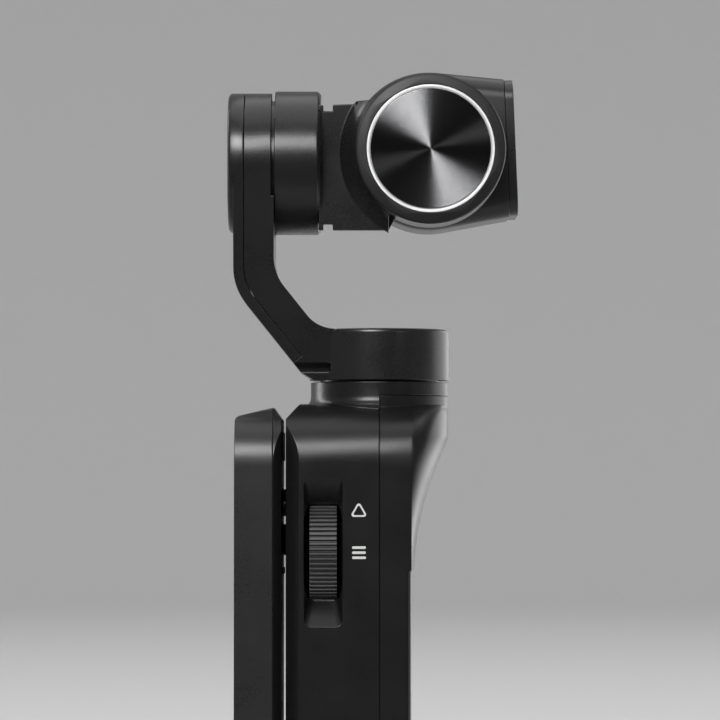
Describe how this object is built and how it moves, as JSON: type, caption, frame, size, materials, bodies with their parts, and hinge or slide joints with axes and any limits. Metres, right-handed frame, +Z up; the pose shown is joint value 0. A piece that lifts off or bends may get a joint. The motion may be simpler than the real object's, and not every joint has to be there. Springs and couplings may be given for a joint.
{
  "type": "handheld three-axis gimbal camera",
  "caption": "Pocket gimbal camera: upright handle with a flip-out screen, a bent arm that turns, rolls and pitches a small camera head, a side thumb wheel and two buttons",
  "frame": {"origin": "mouth of the tripod socket, in the middle of the base", "axes": "+Z up along the handle, +X the way the lens looks at rest, +Y the side that the flip-out screen opens to"},
  "size_m": [0.0496, 0.0413, 0.1451],
  "materials": {
    "body_plastic": "fine matte grain, black",
    "gloss_black": "smooth black",
    "red_plastic": "satin red",
    "arm_metal": "fine matte black coat",
    "screen_metal": "satin dark grey coat",
    "dark_anodised": "black anodised",
    "bare_aluminium": "bare sheet",
    "spun_metal": "concentric brushed, dark anodised",
    "bright_trim": "diamond-cut bright edge",
    "steel": "plain steel",
    "dark_steel": "black oxide",
    "brass_insert": "machined",
    "copper_winding": "enamelled copper and steel laminations",
    "circuit_board": "solder mask green",
    "battery_wrap": "shrink film",
    "flex_film": "amber film",
    "wheel_rubber": "matte black",
    "dark_glass": "black cover glass",
    "lens_glass": "coated optical glass"
  },
  "bodies": {
    "handle": {"rear_shell": "body_plastic", "front_shell": "body_plastic", "base_plate": "body_plastic", "tripod_insert": "brass_insert", "base_screws": "dark_steel", "shell_screws": "dark_steel", "battery": "battery_wrap", "inner_frame": "bare_aluminium", "main_board": "circuit_board", "board_shield": "steel", "usb_socket": "steel", "card_socket": "steel", "button_board": "circuit_board", "button_switches": "steel", "wheel_switch": "steel", "neck_collar": "body_plastic", "yaw_stator": "copper_winding", "yaw_bearing": "steel", "hinge_bracket": "dark_steel", "hinge_pins": "steel", "microphones": "brass_insert", "speaker": "body_plastic"},
    "record_body": {"record_button": "red_plastic"},
    "power_body": {"power_button": "gloss_black"},
    "carrier": {"wheel_carrier": "dark_steel"},
    "wheel": {"thumb_wheel": "wheel_rubber"},
    "screen": {"screen_frame": "screen_metal", "screen_back_cover": "body_plastic", "cover_glass": "dark_glass", "display_panel": "gloss_black", "screen_hinge_leaf": "dark_steel", "screen_bumpers": "wheel_rubber"},
    "yaw_body": {"yaw_arm": "arm_metal", "arm_cover": "arm_metal", "yaw_magnet_ring": "steel", "yaw_shaft": "steel", "roll_stator": "copper_winding", "roll_bearing": "steel", "arm_screws": "steel", "arm_flex_cable": "flex_film"},
    "roll_body": {"roll_bracket": "arm_metal", "roll_magnet_ring": "steel", "roll_shaft": "steel", "pitch_stator": "copper_winding", "pitch_bezel": "gloss_black", "pitch_disc": "spun_metal", "pitch_trim_ring": "bright_trim", "pitch_bearing": "steel"},
    "camera": {"camera_shell": "body_plastic", "camera_front_bezel": "gloss_black", "lens_ring": "dark_anodised", "front_glass": "lens_glass", "lens_barrel": "dark_anodised", "lens_elements": "lens_glass", "image_sensor_board": "circuit_board", "pitch_magnet_ring": "steel", "pitch_shaft": "steel"}
  },
  "joints": [
    {"name": "yaw", "type": "hinge", "parent": "handle", "child": "yaw_body", "pos_m": [0.0053, 0, 0.092], "axis": [0, 0, 1], "range_deg": [-160, 160]},
    {"name": "roll", "type": "hinge", "parent": "yaw_body", "child": "roll_body", "pos_m": [0.0053, 0, 0.1296], "axis": [1, 0, 0], "range_deg": [-45, 45]},
    {"name": "pitch", "type": "hinge", "parent": "roll_body", "child": "camera", "pos_m": [0.0138, 0, 0.1308], "axis": [0, -1, 0], "range_deg": [-90, 60]},
    {"name": "screen_hinge", "type": "hinge", "parent": "handle", "child": "screen", "pos_m": [-0.0109, 0.01953, 0.053], "axis": [0, 0, -1], "range_deg": [0, 180]},
    {"name": "wheel_press", "type": "slide", "parent": "handle", "child": "carrier", "axis": [0, 1, 0], "range_m": [0, 0.0005], "stiffness_N_per_m": 300},
    {"name": "wheel_spin", "type": "hinge", "parent": "carrier", "child": "wheel", "pos_m": [-0.00424, -0.0105, 0.0631], "axis": [1, 0, 0], "continuous": true},
    {"name": "record_press", "type": "slide", "parent": "handle", "child": "record_body", "axis": [1, 0, 0], "range_m": [0, 0.00025], "stiffness_N_per_m": 300},
    {"name": "power_press", "type": "slide", "parent": "handle", "child": "power_body", "axis": [1, 0, 0], "range_m": [0, 0.00025], "stiffness_N_per_m": 300}
  ]
}
